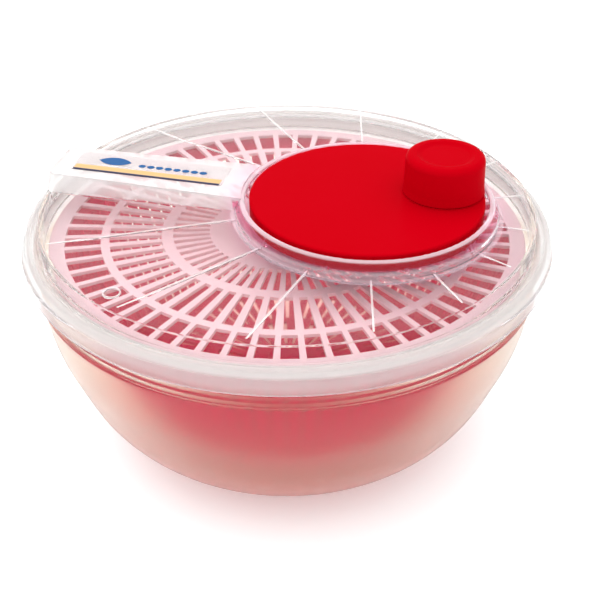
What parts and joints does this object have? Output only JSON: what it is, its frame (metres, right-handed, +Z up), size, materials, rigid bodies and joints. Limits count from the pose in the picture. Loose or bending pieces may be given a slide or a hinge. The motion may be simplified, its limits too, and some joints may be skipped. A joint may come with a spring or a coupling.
{
  "type": "salad spinner",
  "caption": "Crank-driven salad spinner: milky bowl, slotted red basket with a slotted cover, and a clear lid with an off-centre geared crank disc and knob.",
  "frame": {"origin": "centre of the bowl's foot ring, on the table", "axes": "+Z up along the axis that the basket turns on; +X from that axis towards the crank's own axis; the lid's grip lies along -X"},
  "size_m": [0.2498, 0.2498, 0.15],
  "materials": {
    "milky_plastic": "natural translucent polypropylene, satin",
    "clear_plastic": "clear polystyrene, polished",
    "red_translucent": "red translucent polypropylene, glossy",
    "natural_plastic": "natural polypropylene, satin",
    "red_plastic": "opaque signal red, glossy",
    "acetal": "natural acetal, smooth",
    "screw_steel": "zinc plated",
    "label_film": "printed clear film with plain stripes"
  },
  "bodies": {
    "bowl_base": {"bowl": "milky_plastic", "pivot_pin": "acetal"},
    "bush_carrier": {"pivot_bush": "acetal"},
    "basket_body": {"basket": "red_translucent"},
    "cover_body": {"basket_cover": "natural_plastic", "drive_socket": "acetal"},
    "lid_body": {"lid": "clear_plastic", "handle_label": "label_film", "shaft_bush": "acetal", "axle_bush": "acetal"},
    "drive_body": {"drive_shaft": "acetal", "pinion": "acetal", "pinion_washer": "acetal", "drive_dog": "acetal", "dog_screw": "screw_steel"},
    "crank_body": {"crank_disc": "red_plastic", "ring_gear": "acetal", "axle_washer": "screw_steel", "axle_screw": "screw_steel", "knob_spindle": "acetal"},
    "knob_body": {"knob": "red_plastic"}
  },
  "joints": [
    {"name": "lid_lift", "type": "slide", "parent": "bowl_base", "child": "lid_body", "axis": [0, 0, 1], "range_m": [0, 0.3]},
    {"name": "basket_lift", "type": "slide", "parent": "bowl_base", "child": "bush_carrier", "axis": [0, 0, 1], "range_m": [0, 0.12]},
    {"name": "basket_spin", "type": "hinge", "parent": "bush_carrier", "child": "basket_body", "pos_m": [0, 0, 0.03], "axis": [0, 0, 1], "continuous": true},
    {"name": "cover_lift", "type": "slide", "parent": "basket_body", "child": "cover_body", "axis": [0, 0, 1], "range_m": [0, 0.09]},
    {"name": "pinion_spin", "type": "hinge", "parent": "lid_body", "child": "drive_body", "pos_m": [0, 0, 0.118], "axis": [0, 0, 1], "continuous": true},
    {"name": "crank_spin", "type": "hinge", "parent": "lid_body", "child": "crank_body", "pos_m": [0.038, 0, 0.122], "axis": [0, 0, 1], "continuous": true},
    {"name": "knob_spin", "type": "hinge", "parent": "crank_body", "child": "knob_body", "pos_m": [0.07162, 0.0123, 0.14], "axis": [0, 0, 1], "continuous": true}
  ],
  "couplings": [
    {"joint": "basket_lift", "follows": "lid_lift", "ratio": 0.4},
    {"joint": "cover_lift", "follows": "lid_lift", "ratio": 0.3},
    {"joint": "pinion_spin", "follows": "basket_spin", "ratio": 1},
    {"joint": "crank_spin", "follows": "basket_spin", "ratio": 0.22449}
  ]
}
